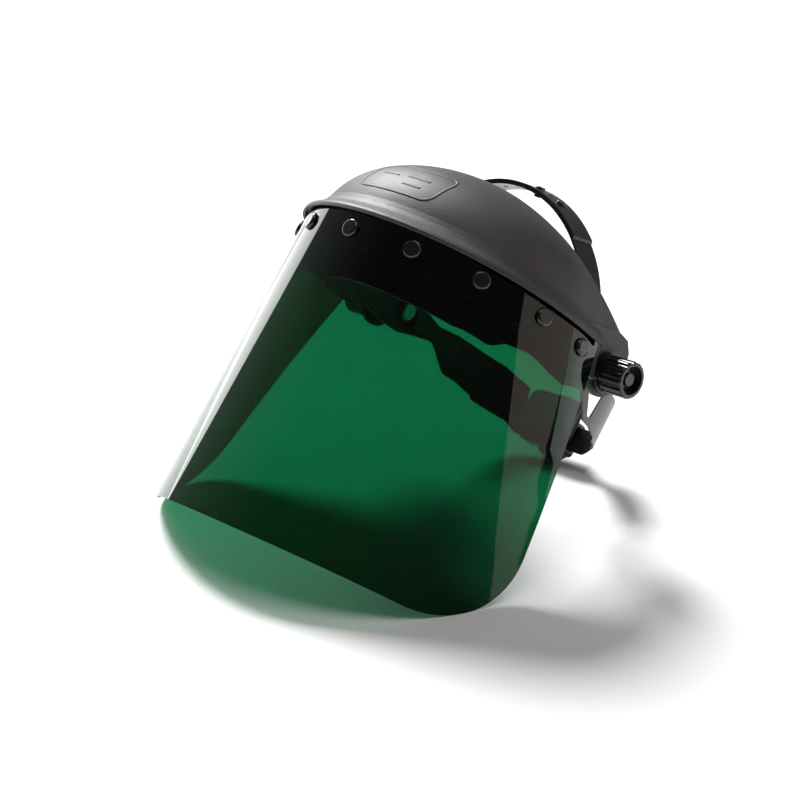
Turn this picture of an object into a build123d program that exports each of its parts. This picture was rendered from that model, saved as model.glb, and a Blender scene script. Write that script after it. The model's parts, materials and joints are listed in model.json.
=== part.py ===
from build123d import *
import os
from math import asin, atan2, cos, degrees, hypot, pi, radians, sin, tan

# A face shield: browguard with a tinted wrap-around window, hinged on a ratchet headgear.
#
# The pieces are drawn in the headgear's own frame: +X to the wearer's left, +Y to the back,
# +Z up, with the browguard's rim in the plane Z = 0. stand() then leans the whole object
# back as it rests on a table, on the window's two rear corners and the ratchet knob, and
# puts the origin under the middle of it.

# ---- driving dimensions, mm and degrees ------------------------------------------------
RIM_TILT = 16.94          # rim plane to the line of sight
RECLINE = 38.97           # headgear frame to the table, when it stands

# Window: a flat rectangle, rolled into part of a cone that opens downwards
WINDOW_WIDTH = 394.0
WINDOW_HEIGHT = 216.0
WINDOW_THICKNESS = 1.0
WINDOW_CORNER = 61.6
CONE_HALF_ANGLE = 13.03
CONE_TOP_RADIUS = 102.3
CONE_ORIGIN = (0, -10.65, 34.95)

# Browguard
DOME_RADIUS = 104.7
DOME_HEIGHT = 72.3
DOME_BASE_Z = -1.4
DOME_POWER = 0.9          # 1 is an ellipse, less is squarer
DOME_CENTRE_Y = 2.5
DOME_WALL = 2.5
LIP_RADIUS = 113.6
LIP_END_Y = 27.0
LIP_ROOF_Z = 3.6
SKIRT_WALL = 2.4
SKIRT_DEPTH = 21.0
REAR_EDGE_TOP = (-41.0, 66.0)
REAR_EDGE_SIDE = (56.0, 16.6)

# Pivot of the shield on the headgear
PIVOT_Y, PIVOT_Z = 48.9, -9.7
BOLT_RADIUS = 3.0
RUNNING_GAP = 0.08
EAR_INNER_X, EAR_OUTER_X = 103.6, 106.6
EAR_RADIUS = 16.5
KNOB_BASE_X, KNOB_END_X = 107.9, 130.0
KNOB_RADIUS = 12.4
STOP_RADIUS = 9.2
TILT_RANGE = 95.0

# Headgear loop, half widths and lengths of its two half ovals
LOOP_CENTRE_Y = 22.0
LOOP_HALF_WIDTH = 80.0
LOOP_FRONT = 104.5
LOOP_REAR = 135.0
BAND_WALL = 1.8
STRAP_WALL = 1.6
BAND_END_Y = 79.0

# Nape ratchet
TONGUE_HALF = 30.0        # the straps run straight inside this half width
TONGUE_Y = 157.0
RATCHET_Z = -33.9
PINION_TEETH = 10
GEAR_MODULE = 1.0
STRAP_TRAVEL = 10.0
STRAP_OVAL = 45.3         # half width of the straps' quarter oval, beyond the tongue
PEG_Y, PEG_Z = 70.0, -11.5
PEG_RADIUS = 2.0
RATCHET_KNOB_RADIUS = 16.7
SHAFT_END_Y = TONGUE_Y + 10.4
RATCHET_KNOB_END_Y = TONGUE_Y + 13.4
HOUSING_HALF_WIDTH = 21.0
HOUSING_HALF_HEIGHT = 12.6

# Crown strap, an oval arch over the head in the plane of the wearer's ears
CROWN_PLANE_Y = 40.0
CROWN_HALF_WIDTH = 87.0
CROWN_TOP_Z = 42.0
CROWN_BASE_Z = -50.0
CROWN_WIDTH = 20.0
CROWN_WALL = 1.5

CENTRE_MIN = (Align.CENTER, Align.CENTER, Align.MIN)
PITCH_RADIUS = PINION_TEETH * GEAR_MODULE / 2
phi = radians(CONE_HALF_ANGLE)


# ---- helpers ---------------------------------------------------------------------------
def upright(shape):
    """Moves a shape drawn with the wearer's line of sight level into the headgear frame."""
    return Pos(*CONE_ORIGIN) * Rot(RIM_TILT, 0, 0) * shape


def x_cylinder(radius, x0, x1, y=PIVOT_Y, z=PIVOT_Z):
    return Pos(x0, y, z) * Rot(0, 90, 0) * Cylinder(radius, x1 - x0, align=CENTRE_MIN)


def y_cylinder(radius, y0, y1, x=0.0, z=RATCHET_Z):
    return Pos(x, y0, z) * Rot(-90, 0, 0) * Cylinder(radius, y1 - y0, align=CENTRE_MIN)


def box(x0, x1, y0, y1, z0, z1):
    return Pos((x0 + x1) / 2, (y0 + y1) / 2, (z0 + z1) / 2) * Box(x1 - x0, y1 - y0, z1 - z0)


def side_prism(points, x0=-200.0, x1=200.0):
    """A prism along X over a closed outline of (y, z) points."""
    face = make_face(Plane.YZ * Polyline(*points, close=True))
    return Pos(x0, 0, 0) * extrude(face, amount=x1 - x0, dir=(1, 0, 0))


def front_prism(points, y0, y1):
    """A prism along Y over a closed outline of (x, z) points."""
    face = make_face(Plane.XZ * Polyline(*points, close=True))
    return Pos(0, y0, 0) * extrude(face, amount=y1 - y0, dir=(0, 1, 0))


def mirrored(shape):
    return mirror(shape, about=Plane.YZ)


def both_sides(name, shape):
    return {f"{name}_left": shape, f"{name}_right": mirrored(shape)}


# ---- window ----------------------------------------------------------------------------
def cone_point(s, t):
    """Where the flat sheet's point (s across, t down) lands on the cone."""
    rho_top = CONE_TOP_RADIUS / sin(phi)
    rho, alpha = hypot(s, rho_top + t), atan2(s, rho_top + t)
    r, theta = rho * sin(phi), alpha / sin(phi)
    return (r * sin(theta), -r * cos(theta), -(rho - rho_top) * cos(phi))


def cone_solid(offset, z0=-250.0, z1=30.0):
    """The cone's inside, with its radius changed by offset."""
    bottom = CONE_TOP_RADIUS - z0 * tan(phi) + offset
    top = CONE_TOP_RADIUS - z1 * tan(phi) + offset
    return Pos(0, 0, z0) * Cone(bottom, top, z1 - z0, align=CENTRE_MIN)


def cone_layer(outer_offset, wall):
    return cone_solid(outer_offset) - cone_solid(outer_offset - wall)


def side_curve(points):
    return Spline(*[(cone_point(s, t)[1], cone_point(s, t)[2]) for s, t in points])


def sheet_outline():
    """The sheet's outline seen from the side, closed well in front of it."""
    w, h, c = WINDOW_WIDTH / 2, WINDOW_HEIGHT, WINDOW_CORNER
    steps = [i / 8 for i in range(9)]
    top = side_curve([(w * u, 0) for u in steps])
    rear = side_curve([(w, (h - c) * u) for u in steps])
    corner = side_curve(
        [(w - c + c * cos(u * pi / 2), h - c + c * sin(u * pi / 2)) for u in steps]
    )
    bottom = side_curve([((w - c) * (1 - u), h) for u in steps])
    front = Polyline(bottom @ 1, (-220, (bottom @ 1).Y), (-220, (top @ 0).Y), top @ 0)
    return make_face(Plane.YZ * (top + rear + corner + bottom + front))


BUTTON_PLACES = [(s, 16.0) for s in (-180, -142, -95, -48, 0, 48, 95, 142, 180)]


def button_frames():
    """One frame per button, on the window's outside, with Z pointing out of it."""
    frames = []
    for s, t in BUTTON_PLACES:
        x, y, z = cone_point(s, t)
        theta = atan2(x, -y)
        out = (cos(phi) * sin(theta), -cos(phi) * cos(theta), sin(phi))
        frames.append(Plane(origin=(x, y, z), x_dir=(cos(theta), sin(theta), 0), z_dir=out))
    return frames


def at_buttons(shape):
    return [frame.location * shape for frame in button_frames()]


def window():
    prism = Pos(-220, 0, 0) * extrude(sheet_outline(), amount=440, dir=(1, 0, 0))
    sheet = cone_layer(0, WINDOW_THICKNESS) & prism
    for hole in at_buttons(Cylinder(2.7, 12)):
        sheet -= hole
    return upright(sheet) & box(-200, 200, -200, 200, -300, LIP_ROOF_Z - 0.3)


def window_buttons():
    """Round snap buttons: head outside, shank through window and skirt, collar inside."""
    depth = WINDOW_THICKNESS + SKIRT_WALL + 0.3
    head = Cylinder(6.0, 2.4, align=CENTRE_MIN)
    head = fillet(head.edges().sort_by(Axis.Z)[-1], 1.8)
    shank = Pos(0, 0, -depth) * Cylinder(2.4, depth + 0.5, align=CENTRE_MIN)
    collar = Pos(0, 0, -depth - 1.4) * Cylinder(3.6, 1.4, align=CENTRE_MIN)
    button = Pos(0, 0, 0.15) * head + shank + collar
    return Compound([upright(b) for b in at_buttons(button)])


# ---- browguard -------------------------------------------------------------------------
def dome_section(inset):
    """Half of the dome's front section, from the rim to the top."""
    r, h = DOME_RADIUS - inset, DOME_HEIGHT - inset
    angles = [radians(a) for a in (0, 12, 25, 40, 55, 70, 82, 90)]
    points = [(r * cos(a) ** DOME_POWER, DOME_BASE_Z + h * sin(a) ** DOME_POWER) for a in angles[:-1]]
    curve = Spline(*points, (0, DOME_BASE_Z + h), tangents=[(0, 1), (-1, 0)])
    return curve + Polyline((0, DOME_BASE_Z + h), (0, DOME_BASE_Z), (r, DOME_BASE_Z))


def bullet(section, length):
    """Turns an (x, z) half section round the front half, then runs it straight back."""
    half = make_face(Plane.XZ * section)
    front = revolve(half, Axis.Z, -180)
    side = extrude(half, amount=length, dir=(0, 1, 0))
    return Pos(0, DOME_CENTRE_Y, 0) * (front + side + mirrored(side))


def lip_section():
    r = LIP_RADIUS
    return Polyline(
        (r - 12.2, LIP_ROOF_Z), (r - 2.4, LIP_ROOF_Z), (r - 1.8, 0.5), (r, 0.5), (r, 2.4),
        (r - 0.9, 4.1), (r - 3.4, 6.1), (r - 6.6, 8.8), (r - 9.0, 12.0), (r - 10.6, 15.6),
        (r - 12.2, 15.6), close=True,
    )


def ear_outline():
    """Side outline of the flat ear that carries the pivot, with room for its round end."""
    return [
        (12, -20), (12, 9), (46, 17.5), REAR_EDGE_SIDE, (62, 12), (65.2, 4),
        (PIVOT_Y + EAR_RADIUS, PIVOT_Z), (PIVOT_Y, PIVOT_Z - 10), (34, -20),
    ]


def ear():
    plate = side_prism(ear_outline(), EAR_INNER_X, EAR_OUTER_X)
    plate += x_cylinder(EAR_RADIUS, EAR_INNER_X, EAR_OUTER_X)
    slot_angles = [-90 + TILT_RANGE * i / 12 for i in range(-1, 14)]
    plate -= x_cylinder(BOLT_RADIUS + RUNNING_GAP, EAR_INNER_X - 1, EAR_OUTER_X + 1)
    for a in slot_angles:
        plate -= x_cylinder(1.9, EAR_INNER_X - 1, EAR_OUTER_X + 1, *stop_place(a))
    return plate


def stop_place(angle):
    """A place on the stop peg's circle, as (y, z)."""
    a = radians(angle)
    return PIVOT_Y + STOP_RADIUS * cos(a), PIVOT_Z + STOP_RADIUS * sin(a)


def browguard():
    shell = bullet(dome_section(0), 75) - bullet(dome_section(DOME_WALL), 80)
    shell &= box(-130, 130, -130, 130, 5.0, 100)
    shell += bullet(lip_section(), LIP_END_Y - DOME_CENTRE_Y)
    skirt = upright(cone_layer(-WINDOW_THICKNESS - 0.1, SKIRT_WALL))
    skirt &= box(-130, 130, -130, LIP_END_Y + 6, -SKIRT_DEPTH, 5.6)
    for hole in at_buttons(Cylinder(2.5, 16)):
        skirt -= upright(hole)
    shell += skirt
    ears = ear()
    shell += ears
    shell += mirrored(ears)
    ear_end = PIVOT_Y + EAR_RADIUS + 0.1
    behind = [
        REAR_EDGE_TOP, REAR_EDGE_SIDE, (ear_end, 8), (ear_end, -40), (160, -40),
        (160, 120), (REAR_EDGE_TOP[0], 120),
    ]
    return shell - side_prism(behind)


# ---- pivot hardware --------------------------------------------------------------------
BAND_OUT_X = LOOP_HALF_WIDTH + BAND_WALL / 2
BOSS_IN_X = 76.2


def pivot_bolt():
    head = x_cylinder(6.5, BOSS_IN_X - 2.4, BOSS_IN_X)
    head = fillet(head.edges().sort_by(Axis.X)[0], 1.4)
    shank = x_cylinder(BOLT_RADIUS, BOSS_IN_X, 123.0)
    return head + shank


def pivot_spacer():
    start = BAND_OUT_X + CROWN_WALL + 0.2
    end = EAR_INNER_X - 0.1
    body = x_cylinder(8.0, start, end) + x_cylinder(13.0, end - 2.2, end)
    for k in range(6):
        rib = box(start + 2, end - 2.2, PIVOT_Y - 0.9, PIVOT_Y + 0.9, PIVOT_Z, PIVOT_Z + 11.5)
        body += rib.rotate(Axis((0, PIVOT_Y, PIVOT_Z), (1, 0, 0)), 60 * k)
    body += x_cylinder(1.5, end - 1, EAR_OUTER_X - 0.3, *stop_place(-90))
    return body - x_cylinder(BOLT_RADIUS, start - 1, end + 1)


def friction_washer():
    inner, outer = EAR_OUTER_X + 0.1, KNOB_BASE_X - 0.1
    return x_cylinder(12.6, inner, outer) - x_cylinder(BOLT_RADIUS + 0.05, inner - 1, outer + 1)


def spring_washer():
    """A dished washer in the knob's hollow base."""
    def disc(shift):
        return Pos(shift, PIVOT_Y, PIVOT_Z) * Rot(0, 90, 0) * Cone(6.4, 4.2, 1.0, align=CENTRE_MIN)

    start = KNOB_BASE_X
    dished = disc(start + 0.6) - disc(start)
    dished &= x_cylinder(8, start, start + 3)
    return dished - x_cylinder(BOLT_RADIUS + 0.05, start - 1, start + 4)


def tension_knob():
    """Fluted grip with a flange at its base and a recessed face round a centre boss."""
    grip = x_cylinder(KNOB_RADIUS, KNOB_BASE_X, KNOB_END_X)
    grip = fillet(grip.edges().sort_by(Axis.X)[-1], 1.6)
    flange = x_cylinder(KNOB_RADIUS + 1.2, KNOB_BASE_X, KNOB_BASE_X + 3.4)
    recess = x_cylinder(KNOB_RADIUS - 3.0, KNOB_END_X - 5.5, KNOB_END_X + 1)
    flutes = 14
    for k in range(flutes):
        a = 2 * pi * k / flutes
        place = (PIVOT_Y + (KNOB_RADIUS + 0.9) * cos(a), PIVOT_Z + (KNOB_RADIUS + 0.9) * sin(a))
        grip -= x_cylinder(1.9, KNOB_BASE_X + 4.6, KNOB_END_X + 1, *place)
    knob = grip + flange - recess + x_cylinder(4.2, KNOB_END_X - 6, KNOB_END_X - 2.2)
    knob -= x_cylinder(7.0, KNOB_BASE_X - 1, KNOB_BASE_X + 3.0)
    knob -= x_cylinder(5.0, KNOB_BASE_X, KNOB_BASE_X + 11.0)
    return knob - x_cylinder(BOLT_RADIUS + 0.4, KNOB_BASE_X, 123.6)


def knob_insert():
    """Threaded brass bush, moulded into the knob."""
    x0, x1 = KNOB_BASE_X + 3.6, KNOB_BASE_X + 11.0
    bush = x_cylinder(5.0, x0, x1)
    for x in (x0 + 2.2, x0 + 4.6):
        bush -= x_cylinder(5.1, x, x + 0.7) - x_cylinder(4.5, x - 1, x + 2)
    return bush - x_cylinder(BOLT_RADIUS + RUNNING_GAP, x0 - 1, x1 + 1)


# ---- headband --------------------------------------------------------------------------
def oval(half_width, length, x_shift=0.0):
    """A full oval disc of plan, centred where the loop is widest."""
    return Pos(x_shift, LOOP_CENTRE_Y, 0) * make_face(Ellipse(half_width, length))


def loop_layer(inner, outer, z0, z1):
    """The headgear loop between two insets from its middle line, as a tall ring."""
    def disc(grow):
        front = oval(LOOP_HALF_WIDTH + grow, LOOP_FRONT + grow)
        rear = oval(LOOP_HALF_WIDTH + grow, LOOP_REAR + grow)
        ahead = Pos(0, LOOP_CENTRE_Y - 150, 0) * Rectangle(400, 300)
        behind = Pos(0, LOOP_CENTRE_Y + 150, 0) * Rectangle(400, 300)
        return Pos(0, 0, z0) * (
            extrude(front & ahead, amount=z1 - z0) + extrude(rear & behind, amount=z1 - z0)
        )

    return disc(outer) - disc(inner)


def headband():
    """Brow band, deepest at the forehead, with an ear at each pivot and a tail behind it."""
    ring = loop_layer(-BAND_WALL / 2, BAND_WALL / 2, -40, 10)
    outline = [
        (-90, -3), (15, -3), (34, 5.5), (62, 5.5), (68, -2), (BAND_END_Y, -5),
        (BAND_END_Y, -18), (66, -21), (50, -26), (32, -26), (18, -24.5), (5, -24),
        (-18, -29), (-47, -36), (-90, -36),
    ]
    band = ring & side_prism(outline)
    boss = x_cylinder(8.0, BOSS_IN_X, BAND_OUT_X)
    band += boss
    band += mirrored(boss)
    band -= x_cylinder(BOLT_RADIUS, -100, 100)
    band -= x_cylinder(PEG_RADIUS + 0.2, -100, 100, PEG_Y, PEG_Z)
    for k in range(5):
        band -= Pos(12 * (k - 2), LOOP_CENTRE_Y - LOOP_FRONT, -9) * Box(5.0, 12, 2.6)
    return band


def brow_pad():
    """Soft sweatband inside the brow band."""
    ring = loop_layer(-BAND_WALL / 2 - 5.6, -BAND_WALL / 2 - 0.3, -35, -5)
    return ring & box(-90, 90, -90, -12, -35, -5)


# ---- nape straps -----------------------------------------------------------------------
def strap_plan(layer):
    """Plan outline of the left strap: a quarter oval that ends in a straight tongue."""
    cx, rx = TONGUE_HALF, STRAP_OVAL
    inner_y = TONGUE_Y + 2.0 * layer - STRAP_WALL / 2
    outer_y = inner_y + STRAP_WALL

    def solid(rx_, top_y):
        oval_face = Pos(cx, LOOP_CENTRE_Y, 0) * make_face(Ellipse(rx_, top_y - LOOP_CENTRE_Y))
        quarter = Pos(cx + 50, LOOP_CENTRE_Y + 100, 0) * Rectangle(100, 200)
        straight = Pos((cx - 60) / 2, (LOOP_CENTRE_Y + top_y) / 2, 0) * Rectangle(
            cx + 60, top_y - LOOP_CENTRE_Y
        )
        part = extrude(oval_face & quarter, amount=60) + extrude(straight, amount=60)
        return Pos(0, 0, -56) * part

    return solid(rx, outer_y) - solid(rx - STRAP_WALL, inner_y)


def rack_teeth(direction, x0, x1, y0, y1):
    """Teeth on the slot's edge; direction 1 is its upper edge, -1 its lower edge."""
    pitch = pi * GEAR_MODULE
    teeth = []
    root, tip = PITCH_RADIUS + 1.3, PITCH_RADIUS - 0.75
    count = int((x1 - x0) / pitch)
    for k in range(-count, count + 1):
        x = (k + 0.5) * pitch
        if not x0 + 1 < x < x1 - 1:
            continue
        points = [(x - 1.05, root + 0.3), (x + 1.05, root + 0.3), (x + 0.38, tip), (x - 0.38, tip)]
        placed = [(px, RATCHET_Z + direction * pz) for px, pz in points]
        teeth.append(front_prism(placed, y0, y1))
    return teeth


def nape_strap(layer, tooth_side):
    """The left strap, with its side opening. The right one is mirrored, solid and a layer further out."""
    strap = strap_plan(layer)
    half = 9.0
    side = [
        (57, -5.5), (80, -5.5), (98, -3), (200, -3), (200, -53), (135, -53),
        (128, -35), (112, -32.5), (100, -32.5), (80, -18.5), (57, -18.5),
    ]
    strap &= side_prism(side)
    low, high = RATCHET_Z - half, RATCHET_Z + half
    rear = [
        (-STRAP_TRAVEL, low), (33, low), (42, -38), (90, -36), (90, 0), (60, 0),
        (44, -6), (37, -8), (33, high), (-STRAP_TRAVEL, high),
    ]
    strap &= front_prism(rear, 50, 180)
    if layer == 0:
        strap -= side_prism([(84, -9.5), (111, -9.5), (108, -28), (102, -28)], 40, 100)
    y0 = TONGUE_Y + 2.0 * layer - STRAP_WALL / 2
    y1 = y0 + STRAP_WALL
    x0, x1 = -7.2, STRAP_TRAVEL + 7.2
    open_side, rack_side = 6.4, PITCH_RADIUS + 1.3
    z_top = RATCHET_Z + (rack_side if tooth_side > 0 else open_side)
    z_low = RATCHET_Z - (open_side if tooth_side > 0 else rack_side)
    strap -= box(x0, x1, y0 - 2, y1 + 2, z_low, z_top)
    for tooth in rack_teeth(tooth_side, x0, x1, y0, y1):
        strap += tooth
    return strap + x_cylinder(PEG_RADIUS, 71.8, 77.0, PEG_Y, PEG_Z)


# ---- nape ratchet ----------------------------------------------------------------------
BASE_Y0, BASE_Y1 = TONGUE_Y - 5.0, TONGUE_Y - 2.1
COVER_Y0, COVER_Y1 = TONGUE_Y + 3.4, TONGUE_Y + 6.2
CORNERS = [(x, RATCHET_Z + z) for x in (-18.6, 18.6) for z in (-10.6, 10.6)]


def rounded_plate(half_x, half_z, y0, y1, radius):
    plate = box(-half_x, half_x, y0, y1, RATCHET_Z - half_z, RATCHET_Z + half_z)
    return fillet(plate.edges().filter_by(Axis.Y), radius)


def ratchet_base():
    plate = rounded_plate(HOUSING_HALF_WIDTH, HOUSING_HALF_HEIGHT, BASE_Y0, BASE_Y1, 3)
    plate -= y_cylinder(2.5 + RUNNING_GAP, BASE_Y0 - 1, BASE_Y1 + 1)
    for x, z in CORNERS:
        plate -= y_cylinder(0.9, BASE_Y0 - 1, BASE_Y1 + 1, x, z)
    return plate


def ratchet_cover():
    hw, hh = HOUSING_HALF_WIDTH, HOUSING_HALF_HEIGHT
    cover = rounded_plate(hw, hh, BASE_Y1, COVER_Y1, 3)
    cover -= box(-hw - 1, hw + 1, BASE_Y1 - 1, COVER_Y0, RATCHET_Z - 9.6, RATCHET_Z + 9.6)
    cover -= y_cylinder(3.5 + RUNNING_GAP, COVER_Y0 - 1, COVER_Y1 + 1)
    for x, z in CORNERS:
        cover -= y_cylinder(0.9, BASE_Y1 - 1, COVER_Y0 + 1.5, x, z)
    return cover


def housing_screws():
    screws = []
    for x, z in CORNERS:
        head = y_cylinder(1.7, BASE_Y0 - 0.9, BASE_Y0, x, z)
        screws.append(head + y_cylinder(0.9, BASE_Y0, COVER_Y0 + 1.2, x, z))
    return Compound(screws)


def ratchet_pinion():
    """Pinion with its shaft, turning both racks at once."""
    gear = y_cylinder(PITCH_RADIUS - 1.25, TONGUE_Y - 1.7, TONGUE_Y + 3.2)
    for k in range(PINION_TEETH):
        tooth = front_prism(
            [
                (-0.95, RATCHET_Z + 3.2), (0.95, RATCHET_Z + 3.2), (0.62, RATCHET_Z + PITCH_RADIUS),
                (0.3, RATCHET_Z + PITCH_RADIUS + 0.8), (-0.3, RATCHET_Z + PITCH_RADIUS + 0.8),
                (-0.62, RATCHET_Z + PITCH_RADIUS),
            ],
            TONGUE_Y - 1.7, TONGUE_Y + 3.2,
        )
        gear += tooth.rotate(Axis((0, 0, RATCHET_Z), (0, 1, 0)), 360 * k / PINION_TEETH)
    gear += y_cylinder(2.5, BASE_Y0 + 0.4, TONGUE_Y)
    gear += y_cylinder(3.5, TONGUE_Y + 3.0, SHAFT_END_Y)
    return gear - y_cylinder(1.2, TONGUE_Y + 5, SHAFT_END_Y + 1)


def click_ring():
    """Toothed ring on the cover that the knob's spring clicks over."""
    ring = y_cylinder(13.0, COVER_Y1, COVER_Y1 + 2.2) - y_cylinder(11.4, COVER_Y1 - 1, COVER_Y1 + 4)
    for k in range(24):
        a = 2 * pi * k / 24
        ring += y_cylinder(0.5, COVER_Y1, COVER_Y1 + 2.2, 11.3 * cos(a), RATCHET_Z + 11.3 * sin(a))
    return ring


def click_spring():
    """Sprung cross arm inside the ring, keyed to the shaft."""
    y0, y1 = COVER_Y1 + 0.5, COVER_Y1 + 2.0
    arm = box(-10.2, 10.2, y0, y1, RATCHET_Z - 1.0, RATCHET_Z + 1.0)
    hub = y_cylinder(5.0, y0, y1)
    return arm + hub - y_cylinder(3.5, y0 - 1, y1 + 1)


def ratchet_knob():
    """Low scalloped knob with a rounded rim."""
    y0, y1, r = COVER_Y1 + 0.4, RATCHET_KNOB_END_Y, RATCHET_KNOB_RADIUS
    knob = y_cylinder(r, y0, y1)
    knob = fillet(knob.edges().sort_by(Axis.Y)[-1], 1.2)
    lobes = 18
    for k in range(lobes):
        a = 2 * pi * (k + 0.5) / lobes
        knob -= y_cylinder(1.5, y0 - 1, y1 + 1, (r + 0.7) * cos(a), RATCHET_Z + (r + 0.7) * sin(a))
    knob -= y_cylinder(13.4, y0 - 1, COVER_Y1 + 2.4)
    knob -= y_cylinder(3.5, y0 - 1, SHAFT_END_Y)
    knob -= y_cylinder(1.2, y0, y1 + 1)
    return knob - y_cylinder(2.6, y1 - 1.6, y1 + 1)


def knob_screw():
    end = RATCHET_KNOB_END_Y
    screw = y_cylinder(2.5, end - 1.6, end - 0.2) + y_cylinder(1.2, TONGUE_Y + 5.4, end - 1.4)
    cross = box(-1.6, 1.6, end - 1.0, end, RATCHET_Z - 0.35, RATCHET_Z + 0.35)
    return screw - cross - cross.rotate(Axis((0, 0, RATCHET_Z), (0, 1, 0)), 90)


def nape_pad():
    """Soft pad between the ratchet and the wearer's nape."""
    pad = box(-28, 28, BASE_Y0 - 6.2, BASE_Y0 - 1.1, -42.5, -7.0)
    return fillet(pad.edges().filter_by(Axis.Y), 6)


# ---- crown strap -----------------------------------------------------------------------
CROWN_HOLES = [-16, -6, 4, 14, 24, 34]


def crown_arc(lift, x0, x1):
    """Part of the arch between two x places, lifted off the head by one layer or none."""
    height = CROWN_TOP_Z - CROWN_BASE_Z

    def disc(grow):
        face = make_face(Plane.XZ * Ellipse(CROWN_HALF_WIDTH + grow, height + grow))
        y = CROWN_PLANE_Y - CROWN_WIDTH / 2
        return Pos(0, y, CROWN_BASE_Z) * extrude(face, amount=CROWN_WIDTH, dir=(0, 1, 0))

    arch = disc(lift + CROWN_WALL) - disc(lift)
    return arch & box(x0, x1, 0, 80, CROWN_BASE_Z + 2, 60)


def crown_frame(x):
    """A frame on the arch at x, with Z out of the strap."""
    a, h = CROWN_HALF_WIDTH, CROWN_TOP_Z - CROWN_BASE_Z
    t = asin(x / a)
    angle = degrees(atan2(a * cos(t), h * sin(t)))
    out = (cos(radians(angle)), 0, sin(radians(angle)))
    origin = (x, CROWN_PLANE_Y, CROWN_BASE_Z + h * cos(t))
    return Plane(origin=origin, x_dir=(0, 1, 0), z_dir=out)


def crown_foot(lift):
    """Joggled end that is clamped between the headband's ear and the spacer."""
    x_in, x_out = BAND_OUT_X + 0.1, CROWN_HALF_WIDTH + lift + CROWN_WALL
    y0, y1 = CROWN_PLANE_Y - CROWN_WIDTH / 2, CROWN_PLANE_Y + CROWN_WIDTH / 2
    top = CROWN_BASE_Z + 4
    step = box(x_in, x_out, y0, y1, top - 2.2, top)
    plate = box(x_in, x_in + CROWN_WALL, y0, y1, -70, top)
    return step + plate


def crown_strap(outer):
    """The left strap lies on the head, and the right one laps over it."""
    if outer:
        lift = CROWN_WALL + 0.3
        strap = crown_arc(lift, -100, 62) + mirrored(crown_foot(lift))
    else:
        strap = crown_arc(0, -30, 100) + crown_foot(0)
    for x in CROWN_HOLES:
        strap -= crown_frame(x).location * Cylinder(1.9, 14)
    return upright(strap) - x_cylinder(BOLT_RADIUS, -95, 95)


def crown_pin():
    """Two-button stud that locks the lapped strap ends."""
    pins = []
    for x in (14, 34):
        head = Pos(0, 0, 2 * CROWN_WALL + 0.35) * Cylinder(3.4, 1.6, align=CENTRE_MIN)
        head = fillet(head.edges().sort_by(Axis.Z)[-1], 0.8)
        shank = Pos(0, 0, -1.3) * Cylinder(1.7, 2 * CROWN_WALL + 1.7, align=CENTRE_MIN)
        foot = Pos(0, 0, -2.3) * Cylinder(2.6, 1.1, align=CENTRE_MIN)
        pins.append(upright(crown_frame(x).location * (head + shank + foot)))
    return Compound(pins)


# ---- assembly --------------------------------------------------------------------------
def all_parts():
    parts = {
        "browguard": browguard(),
        "window": window(),
        "window_buttons": window_buttons(),
        "headband": headband(),
        "brow_pad": brow_pad(),
        "crown_strap_left": crown_strap(outer=False),
        "crown_strap_right": crown_strap(outer=True),
        "crown_pins": crown_pin(),
        "nape_strap_left": nape_strap(0, -1),
        "nape_strap_right": mirrored(nape_strap(1, 1)),
        "nape_pad": nape_pad(),
        "ratchet_base": ratchet_base(),
        "ratchet_cover": ratchet_cover(),
        "ratchet_pinion": ratchet_pinion(),
        "ratchet_knob": ratchet_knob(),
        "click_ring": click_ring(),
        "click_spring": click_spring(),
        "knob_screw": knob_screw(),
        "housing_screws": housing_screws(),
    }
    parts |= both_sides("pivot_bolt", pivot_bolt())
    parts |= both_sides("pivot_spacer", pivot_spacer())
    parts |= both_sides("friction_washer", friction_washer())
    parts |= both_sides("spring_washer", spring_washer())
    parts |= both_sides("tension_knob", tension_knob())
    parts |= both_sides("knob_insert", knob_insert())
    return parts


def stand(parts):
    """Leans everything back and puts the origin under the middle of the object."""
    leaned = {name: Rot(-RECLINE, 0, 0) * shape for name, shape in parts.items()}
    boxes = [shape.bounding_box() for shape in leaned.values()]
    low_z = min(b.min.Z for b in boxes)
    mid_y = (min(b.min.Y for b in boxes) + max(b.max.Y for b in boxes)) / 2
    print("window lowest", leaned["window"].bounding_box().min.Z - low_z)
    print("ratchet knob lowest", leaned["ratchet_knob"].bounding_box().min.Z - low_z)
    print("frame shift", -mid_y, -low_z)
    return {name: Pos(0, -mid_y, -low_z) * shape for name, shape in leaned.items()}


def main():
    os.makedirs("parts", exist_ok=True)
    for name, shape in stand(all_parts()).items():
        export_step(shape, f"parts/{name}.step")


main()
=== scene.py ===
import json
from math import cos, hypot, pi, radians, sin

import bpy
from mathutils import Matrix, Vector
from mathutils.bvhtree import BVHTree


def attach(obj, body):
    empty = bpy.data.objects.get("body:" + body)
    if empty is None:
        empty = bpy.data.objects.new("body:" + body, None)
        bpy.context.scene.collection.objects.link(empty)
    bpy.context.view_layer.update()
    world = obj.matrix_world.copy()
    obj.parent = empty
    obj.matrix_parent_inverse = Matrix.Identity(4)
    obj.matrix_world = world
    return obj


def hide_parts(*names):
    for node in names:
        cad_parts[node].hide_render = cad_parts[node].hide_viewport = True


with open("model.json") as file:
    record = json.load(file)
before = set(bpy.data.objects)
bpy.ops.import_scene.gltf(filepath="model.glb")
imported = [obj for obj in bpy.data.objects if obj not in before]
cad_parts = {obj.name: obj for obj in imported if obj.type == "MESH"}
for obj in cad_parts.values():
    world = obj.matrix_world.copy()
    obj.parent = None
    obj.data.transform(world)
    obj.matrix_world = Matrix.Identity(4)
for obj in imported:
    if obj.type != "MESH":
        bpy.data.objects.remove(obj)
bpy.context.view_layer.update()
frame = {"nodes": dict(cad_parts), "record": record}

MM = 0.001

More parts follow.
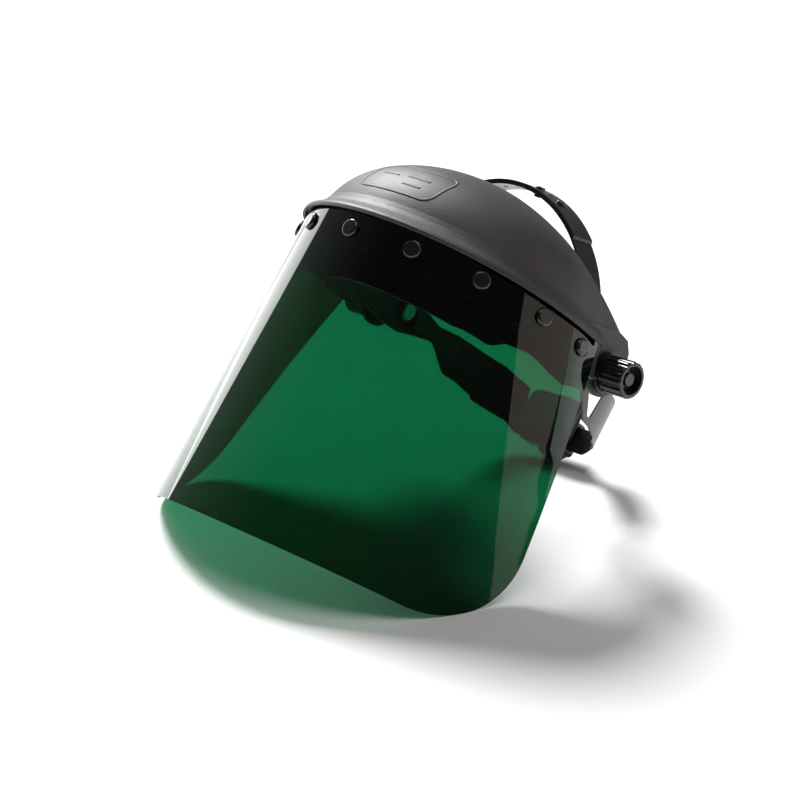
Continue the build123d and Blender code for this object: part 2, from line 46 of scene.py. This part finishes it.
# ---- view ------------------------------------------------------------------------------
VIEW_AZIMUTH, VIEW_ELEVATION, VIEW_DISTANCE = 46.39, 19.47, 1.455
VIEW_AIM = (-0.0081, 0.0016, 0.0771)
LENS_MM, SENSOR_MM = 99.0, 36.0
BACK_AZIMUTH = 226.0                # the bearing that the view looks towards

# ---- the headgear's own frame, upright and in mm, and how it leans on the table -----------
LEAN = radians(-38.97)
FRAME_SHIFT = Vector((0.0, 0.042024, 0.146004))

BROW_OUTER = (78.3, 102.8, 22.0)    # half width, half length and centre y of the pad's outside
BROW_LEVELS = (-34.0, -6.0)         # lowest and highest z
BROW_DEPTH = 4.7
BROW_REACH = radians(70)            # how far the pad goes round from the front, each way
BROW_TAPER = 0.045                  # share of the pad's length that thins out at each end

NAPE_HALF = (25.5, 16.0)            # half width and half height
NAPE_FRONT, NAPE_DEPTH = 146.2, 4.4
NAPE_LEVEL = -24.75

RIM = (113.0, 2.5, 26.5, 1.3)       # radius, centre y, end y and level of the brim's bead
RIM_RADIUS = 1.0
RIM_STRAIGHT, RIM_ARC = 8, 120      # steps along each straight end and round the front

BADGE = (3.0, 36.0, 31.0, 12.5)     # centre x and z, half width and half height
BADGE_CORNER = 7.0
BADGE_RADIUS, BAR_RADIUS = 0.75, 0.6
BADGE_BARS = ((-21, -6, 1.5), (1, 19, 2.5), (4, 18, -4.5))     # first x, last x and z, from the centre
BADGE_START_Y = -160                # ahead of the dome

BEAD_WIDTH, BEAD_HEIGHT = 1.3, 0.55     # a bead's half width and height, as shares of its radius
BEAD_AROUND = 10

# ---- stage, in metres --------------------------------------------------------------------
FLOOR_SIZE = 12.0
LAMP_AIM = Vector((0.0, 0.0, 0.1))      # the middle of the object, roughly


def outward(azimuth, elevation):
    """The direction from the object to something at a bearing and a height, in degrees."""
    az, el = radians(azimuth), radians(elevation)
    return Vector((sin(az) * cos(el), -cos(az) * cos(el), sin(el)))


def facing(out):
    """The turn of a camera or lamp that looks back along out."""
    return (-out).to_track_quat("-Z", "Y").to_euler()


def make_camera():
    out = outward(VIEW_AZIMUTH, VIEW_ELEVATION)
    data = bpy.data.cameras.new("camera")
    data.lens = LENS_MM
    data.sensor_width = SENSOR_MM
    camera = bpy.data.objects.new("camera", data)
    camera.location = Vector(VIEW_AIM) + VIEW_DISTANCE * out
    camera.rotation_euler = facing(out)
    bpy.context.scene.collection.objects.link(camera)
    bpy.context.scene.camera = camera


# ---- materials -------------------------------------------------------------------------
class Shader:
    """A material under construction, with short calls for its nodes. Noise scales are per metre."""

    def __init__(self, name):
        self.material = bpy.data.materials.new(name)
        self.material.use_nodes = True
        self.tree = self.material.node_tree
        self.bsdf = self.tree.nodes["Principled BSDF"]
        self.place = self.tree.nodes.new("ShaderNodeTexCoord").outputs["Object"]

    def set(self, **values):
        for key, value in values.items():
            self.bsdf.inputs[key.replace("_", " ")].default_value = value

    def link(self, source, node, socket):
        self.tree.links.new(source, node.inputs[socket])

    def noise(self, scale, detail=4.0, roughness=0.55):
        node = self.tree.nodes.new("ShaderNodeTexNoise")
        node.inputs["Scale"].default_value = scale
        node.inputs["Detail"].default_value = detail
        node.inputs["Roughness"].default_value = roughness
        self.link(self.place, node, "Vector")
        return node.outputs["Fac"]

    def cells(self, scale):
        node = self.tree.nodes.new("ShaderNodeTexVoronoi")
        node.inputs["Scale"].default_value = scale
        self.link(self.place, node, "Vector")
        return node.outputs["Distance"]

    def ramp(self, source, stops):
        """stops is a list of (position, grey or colour)."""
        node = self.tree.nodes.new("ShaderNodeValToRGB")
        ramp = node.color_ramp
        for element, (position, value) in zip(ramp.elements, stops):
            element.position = position
            rgb = value if isinstance(value, tuple) else (value, value, value)
            element.color = (*rgb, 1.0)
        self.link(source, node, "Fac")
        return node.outputs["Color"]

    def bump(self, height, strength, distance, normal=None):
        node = self.tree.nodes.new("ShaderNodeBump")
        node.inputs["Strength"].default_value = strength
        node.inputs["Distance"].default_value = distance
        self.link(height, node, "Height")
        if normal is not None:
            self.link(normal, node, "Normal")
        return node.outputs["Normal"]

    def into(self, source, socket):
        self.link(source, self.bsdf, socket)


def moulded(name, dark, light, rough, grain, grain_depth, coat=0.0):
    """Moulded plastic: mottled colour, uneven gloss and a fine grain."""
    shader = Shader(name)
    shader.set(IOR=1.5, Coat_Weight=coat, Coat_Roughness=0.08)
    shader.into(shader.ramp(shader.noise(9.0, 3.0), [(0.3, dark), (0.75, light)]), "Base Color")
    low, high = rough
    shader.into(shader.ramp(shader.noise(26.0, 6.0, 0.7), [(0.25, low), (0.8, high)]), "Roughness")
    fine = shader.bump(shader.noise(grain, 3.0, 0.6), 0.6, grain_depth)
    shader.into(shader.bump(shader.noise(14.0, 2.0), 0.12, 0.0015, fine), "Normal")
    return shader.material


def tinted_glass():
    """Green polycarbonate that lets lamps through in its own tint."""
    shader = Shader("green_polycarbonate")
    tint = (0.0016, 0.095, 0.034, 1.0)
    shader.set(Base_Color=tint, Transmission_Weight=1.0, IOR=1.58)
    shader.into(shader.ramp(shader.noise(7.0, 5.0, 0.6), [(0.3, 0.012), (0.8, 0.035)]), "Roughness")
    shader.into(shader.bump(shader.noise(5.0, 2.0), 0.05, 0.0008), "Normal")
    nodes, links = shader.tree.nodes, shader.tree.links
    clear = nodes.new("ShaderNodeBsdfTransparent")
    clear.inputs["Color"].default_value = (0.06, 0.19, 0.13, 1.0)
    path = nodes.new("ShaderNodeLightPath")
    mix = nodes.new("ShaderNodeMixShader")
    links.new(path.outputs["Is Shadow Ray"], mix.inputs["Fac"])
    links.new(shader.bsdf.outputs["BSDF"], mix.inputs[1])
    links.new(clear.outputs["BSDF"], mix.inputs[2])
    links.new(mix.outputs["Shader"], nodes["Material Output"].inputs["Surface"])
    return shader.material


def metal(name, colour, rough):
    """Plated metal: a little darker in patches, with fine uneven gloss."""
    shader = Shader(name)
    shader.set(Metallic=1.0)
    low, high = rough
    darker = tuple(c * 0.8 for c in colour)
    shader.into(shader.ramp(shader.noise(60.0, 4.0), [(0.2, colour), (0.9, darker)]), "Base Color")
    shader.into(shader.ramp(shader.noise(180.0, 3.0), [(0.3, low), (0.8, high)]), "Roughness")
    shader.into(shader.bump(shader.noise(400.0, 2.0), 0.2, 0.0001), "Normal")
    return shader.material


def foam_cloth():
    """Dark brushed cloth over foam, with a fine knit."""
    shader = Shader("foam_cloth")
    shader.set(Sheen_Weight=0.3, Sheen_Roughness=0.5)
    dark, light = (0.02, 0.02, 0.022), (0.045, 0.045, 0.05)
    shader.into(shader.ramp(shader.noise(40.0, 5.0), [(0.3, dark), (0.8, light)]), "Base Color")
    shader.into(shader.ramp(shader.noise(300.0, 2.0), [(0.3, 0.75), (0.8, 0.95)]), "Roughness")
    shader.into(shader.bump(shader.cells(1400.0), 0.5, 0.0003), "Normal")
    return shader.material


def make_materials():
    """One material for each material slot in the record."""
    black = (0.010, 0.010, 0.010)
    return {
        "browguard": moulded(
            "browguard_plastic", (0.034, 0.032, 0.030), (0.056, 0.052, 0.049),
            rough=(0.46, 0.60), grain=900.0, grain_depth=0.00035),
        "window": tinted_glass(),
        "buttons": moulded(
            "gloss_black", black, (0.016, 0.016, 0.016),
            rough=(0.10, 0.20), grain=900.0, grain_depth=0.00004, coat=0.3),
        "headgear_plastic": moulded(
            "headgear_black", (0.012, 0.012, 0.012), (0.020, 0.020, 0.020),
            rough=(0.24, 0.36), grain=1100.0, grain_depth=0.00006),
        "foam": foam_cloth(),
        "gear_plastic": moulded(
            "acetal", (0.55, 0.53, 0.47), (0.62, 0.60, 0.54),
            rough=(0.35, 0.5), grain=900.0, grain_depth=0.00005),
        "knob_plastic": moulded(
            "knob_black", black, (0.018, 0.018, 0.018),
            rough=(0.14, 0.26), grain=1200.0, grain_depth=0.00005, coat=0.2),
        "steel": metal("zinc_plate", (0.62, 0.62, 0.60), (0.22, 0.38)),
        "fibre": moulded(
            "fibre", (0.03, 0.028, 0.025), (0.05, 0.046, 0.04),
            rough=(0.7, 0.85), grain=700.0, grain_depth=0.0001),
        "brass": metal("brass", (0.75, 0.52, 0.22), (0.2, 0.35)),
    }


def dress(obj, material):
    obj.data.materials.clear()
    obj.data.materials.append(material)


# ---- meshes ----------------------------------------------------------------------------
def from_headgear(x, y, z):
    """A place in the headgear's own frame, in mm, to one in the row frame, in metres."""
    return Matrix.Rotation(LEAN, 3, "X") @ Vector((x, y, z)) * MM + FRAME_SHIFT


def mesh_object(name, verts, faces, material):
    mesh = bpy.data.meshes.new(name)
    mesh.from_pydata([tuple(v) for v in verts], [], faces)
    mesh.update()
    obj = bpy.data.objects.new(name, mesh)
    bpy.context.scene.collection.objects.link(obj)
    for polygon in mesh.polygons:
        polygon.use_smooth = True
    dress(obj, material)
    return obj


def tube_faces(rings, around, capped=True):
    """Quads between rings of points, with a flat cap at each end if capped."""
    faces = []
    for i in range(rings - 1):
        for j in range(around):
            k = (j + 1) % around
            faces.append((i * around + j, i * around + k, (i + 1) * around + k, (i + 1) * around + j))
    if capped:
        faces.append(tuple(reversed(range(around))))
        faces.append(tuple((rings - 1) * around + j for j in range(around)))
    return faces


def squarer(value, power):
    """A sine or cosine pushed outwards, which turns a circle into a rounded square."""
    return abs(value) ** power * (1 if value > 0 else -1)


# ---- soft pads -------------------------------------------------------------------------
def pad_ring(depth, low, high, around, puff):
    """Section of a padded strip as (inward, z): plump, with a stitched seam near each edge."""
    mid, half = (low + high) / 2, (high - low) / 2
    seam_inset, seam_half_width, seam_depth = 4.0, 1.4, 1.1
    ring = []
    for j in range(around):
        a = 2 * pi * j / around
        inward = depth / 2 * (1 + squarer(cos(a), 0.6))
        z = mid + half * squarer(sin(a), 0.45)
        seam = max(0.0, 1 - abs(abs(z - mid) - (half - seam_inset)) / seam_half_width)
        if cos(a) > 0:
            inward -= seam_depth * seam + puff * (abs(z - mid) / half) ** 2
        ring.append((inward, z))
    return ring


def wrinkle(a):
    """Small puckers of the sweatband's cloth at angle a round the head, in mm."""
    return 0.22 * sin(41 * a) * sin(17 * a + 1.3) + 0.12 * sin(90 * a)


def brow_pad(material):
    """Padded sweatband inside the front of the headband."""
    steps, around = 220, 96
    outer_x, outer_y, centre_y = BROW_OUTER
    low, high = BROW_LEVELS
    mid = (low + high) / 2
    wrinkled_beyond = 2.5           # the side towards the head
    verts = []
    for i in range(steps):
        u = i / (steps - 1)
        a = -BROW_REACH + 2 * BROW_REACH * u
        edge = min(u, 1 - u)
        taper = sin(pi / 2 * edge / BROW_TAPER) if edge < BROW_TAPER else 1.0
        squeeze = 0.6 + 0.4 * taper
        for inward, z in pad_ring(BROW_DEPTH * (0.45 + 0.55 * taper), low, high, around, 0.5):
            d = inward + (wrinkle(a) if inward > wrinkled_beyond else 0)
            verts.append(from_headgear(
                (outer_x - d) * sin(a), centre_y - (outer_y - d) * cos(a), mid + (z - mid) * squeeze))
    return mesh_object("brow_pad_soft", verts, tube_faces(steps, around), material)


def nape_pad(material):
    """Soft square pad in front of the ratchet."""
    steps, around = 60, 120
    across, up = NAPE_HALF
    seam_at, seam_half_width, seam_depth = 0.84, 0.05, 0.8
    verts = []
    for i in range(steps):
        t = -pi / 2 + pi * i / (steps - 1)
        scale = max(0.001, cos(t)) ** 0.35
        for j in range(around):
            a = 2 * pi * j / around
            x = across * scale * squarer(cos(a), 0.35)
            z = up * scale * squarer(sin(a), 0.35)
            r = max(abs(x) / across, abs(z) / up)
            seam = seam_depth * max(0.0, 1 - abs(r - seam_at) / seam_half_width)
            y = NAPE_DEPTH / 2 * sin(t) * (1 - 0.35 * r * r) + (seam if t < 0 and r < 0.95 else 0)
            verts.append(from_headgear(x, NAPE_FRONT + NAPE_DEPTH / 2 + y, NAPE_LEVEL + z))
    return mesh_object("nape_pad_soft", verts, tube_faces(steps, around), material)


def make_pads(material):
    for make, node in ((brow_pad, "brow_pad"), (nape_pad, "nape_pad")):
        pad = make(material)
        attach(pad, "headgear")
        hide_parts(node)


# ---- beads on the browguard --------------------------------------------------------------
class Dome:
    """The browguard's surface, for lines that lie on it."""

    def __init__(self, node):
        self.tree = BVHTree.FromObject(node, bpy.context.evaluated_depsgraph_get())
        self.world = node.matrix_world.copy()
        self.back = self.world.inverted()

    def at(self, x, z):
        """Where a line straight back at (x, z) meets the dome, and the surface's direction."""
        start = from_headgear(x, BADGE_START_Y, z)
        heading = from_headgear(x, 0, z) - start
        turn = self.back.to_3x3()
        place, normal, _, _ = self.tree.ray_cast(self.back @ start, (turn @ heading).normalized())
        if place is None:
            raise ValueError("the badge runs off the dome")
        return self.world @ place, (turn.transposed() @ normal).normalized()


def bead(name, places, radius, closed, material):
    """A low bead lying on a surface along a line of (place, direction out of it)."""
    count = len(places)
    verts = []
    for i, (place, normal) in enumerate(places):
        after = places[(i + 1) % count if closed else min(i + 1, count - 1)][0]
        before = places[i - 1 if closed or i else 0][0]
        along = (after - before).normalized()
        across = normal.cross(along).normalized()
        for j in range(BEAD_AROUND):
            a = 2 * pi * j / BEAD_AROUND
            section = across * cos(a) * BEAD_WIDTH + normal * sin(a) * BEAD_HEIGHT
            verts.append(place + section * radius * MM)
    faces = tube_faces(count, BEAD_AROUND, capped=not closed)
    if closed:
        last = (count - 1) * BEAD_AROUND
        for j in range(BEAD_AROUND):
            k = (j + 1) % BEAD_AROUND
            faces.append((last + j, last + k, k, j))
    return mesh_object(name, verts, faces, material)


def rounded_outline(half_w, half_h, radius, steps):
    points = []
    for cx, cz, start in ((1, 1, 0), (-1, 1, 90), (-1, -1, 180), (1, -1, 270)):
        for k in range(steps + 1):
            a = radians(start + 90 * k / steps)
            x = cx * (half_w - radius) + radius * cos(a)
            z = cz * (half_h - radius) + radius * sin(a)
            points.append((x, z))
    return points


def denser(points, spacing):
    """Points along a closed outline, about one every spacing."""
    out = []
    for (x0, z0), (x1, z1) in zip(points, points[1:] + points[:1]):
        n = max(1, int(hypot(x1 - x0, z1 - z0) / spacing))
        out += [(x0 + (x1 - x0) * k / n, z0 + (z1 - z0) * k / n) for k in range(n)]
    return out


def badge(dome, material):
    """Raised bead round a plain badge panel on the front of the dome, and a few plain bars in it."""
    cx, cz, half_w, half_h = BADGE
    outline = denser(rounded_outline(half_w, half_h, BADGE_CORNER, 6), 1.5)
    line = [dome.at(cx + x, cz + z) for x, z in outline]
    pieces = [bead("badge", line, BADGE_RADIUS, True, material)]
    for x0, x1, z in BADGE_BARS:
        n = x1 - x0
        line = [dome.at(cx + x0 + (x1 - x0) * k / n, cz + z) for k in range(n + 1)]
        pieces.append(bead("badge_bar", line, BAR_RADIUS, False, material))
    return pieces


def rim_bead(material):
    """Rounded bead along the brim's lower edge, round the front and straight back on each side."""
    radius, centre_y, end_y, level = RIM
    n = RIM_STRAIGHT
    plan = [(-radius, end_y + (centre_y - end_y) * k / n, -1, 0) for k in range(n)]
    for k in range(RIM_ARC + 1):
        a = -pi / 2 + pi * k / RIM_ARC
        plan.append((radius * sin(a), centre_y - radius * cos(a), sin(a), -cos(a)))
    plan += [(radius, centre_y + (end_y - centre_y) * k / n, 1, 0) for k in range(1, n + 1)]
    turn = Matrix.Rotation(LEAN, 3, "X")
    places = [(from_headgear(x, y, level), turn @ Vector((nx, ny, 0))) for x, y, nx, ny in plan]
    return bead("rim_bead", places, RIM_RADIUS, False, material)


def make_beads(material):
    dome = Dome(frame["nodes"]["browguard"])
    for piece in [rim_bead(material)] + badge(dome, material):
        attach(piece, "shield")


# ---- stage -----------------------------------------------------------------------------
def make_stage():
    bpy.ops.mesh.primitive_plane_add(size=FLOOR_SIZE, location=(0, 0, 0))
    floor = bpy.context.object
    floor.name = "floor"
    shader = Shader("pale_floor")
    dark, light = (0.80, 0.80, 0.80), (0.84, 0.84, 0.84)
    shader.into(shader.ramp(shader.noise(3.0, 2.0), [(0.2, dark), (0.8, light)]), "Base Color")
    shader.into(shader.ramp(shader.noise(5.0, 2.0), [(0.2, 0.55), (0.8, 0.65)]), "Roughness")
    dress(floor, shader.material)
    world = bpy.data.worlds.new("studio")
    bpy.context.scene.world = world
    world.use_nodes = True
    light_world(world.node_tree)
    bpy.context.scene.view_settings.view_transform = "Standard"


def light_world(tree):
    """White where the view looks; for light and reflections, dim, and dimmest in front."""
    nodes, links = tree.nodes, tree.links
    background = nodes["Background"]
    place = nodes.new("ShaderNodeTexCoord")
    az = radians(BACK_AZIMUTH)
    toward_back = nodes.new("ShaderNodeVectorMath")
    toward_back.operation = "DOT_PRODUCT"
    toward_back.inputs[1].default_value = (sin(az), -cos(az), 0.35)
    links.new(place.outputs["Generated"], toward_back.inputs[0])
    ramp = nodes.new("ShaderNodeMapRange")
    ramp.interpolation_type = "SMOOTHSTEP"
    for name, value in (("From Min", -0.15), ("From Max", 0.75), ("To Min", 0.04), ("To Max", 0.16)):
        ramp.inputs[name].default_value = value
    links.new(toward_back.outputs["Value"], ramp.inputs["Value"])
    seen = nodes.new("ShaderNodeLightPath")
    brighter = nodes.new("ShaderNodeMath")
    brighter.operation = "MAXIMUM"
    links.new(seen.outputs["Is Camera Ray"], brighter.inputs[0])
    links.new(ramp.outputs["Result"], brighter.inputs[1])
    links.new(brighter.outputs["Value"], background.inputs["Strength"])
    background.inputs["Color"].default_value = (1.0, 1.0, 1.0, 1.0)


def area_light(name, azimuth, elevation, distance, size, power, colour=(1, 1, 1)):
    """A soft box facing the object, from a bearing and a height in degrees."""
    out = outward(azimuth, elevation)
    data = bpy.data.lights.new(name, "AREA")
    data.shape = "RECTANGLE"
    data.size, data.size_y = size
    data.energy = power
    data.color = colour
    lamp = bpy.data.objects.new(name, data)
    lamp.visible_camera = False
    lamp.visible_transmission = False
    lamp.location = LAMP_AIM + distance * out
    lamp.rotation_euler = facing(out)
    bpy.context.scene.collection.objects.link(lamp)


def sun_light(name, azimuth, elevation, strength, spread):
    data = bpy.data.lights.new(name, "SUN")
    data.energy = strength
    data.angle = spread
    lamp = bpy.data.objects.new(name, data)
    lamp.rotation_euler = facing(outward(azimuth, elevation))
    bpy.context.scene.collection.objects.link(lamp)


def make_lights():
    sun_light("key_behind", azimuth=246, elevation=42, strength=5.2, spread=radians(20))
    area_light("left_card", azimuth=262, elevation=20, distance=1.6, size=(0.6, 1.4), power=8)
    area_light(
        "right_card", azimuth=127, elevation=22, distance=1.5, size=(1.3, 1.2), power=2.8,
        colour=(1.0, 0.88, 0.8))
    area_light("top_fill", azimuth=100, elevation=80, distance=2.4, size=(1.8, 1.8), power=16)


# ---- making ----------------------------------------------------------------------------
make_camera()
materials = make_materials()
for part in frame["record"]["subparts"]:
    dress(frame["nodes"][part["node"]], materials[part["material_slot"]])
make_pads(materials["foam"])
make_beads(materials["browguard"])
make_stage()
make_lights()
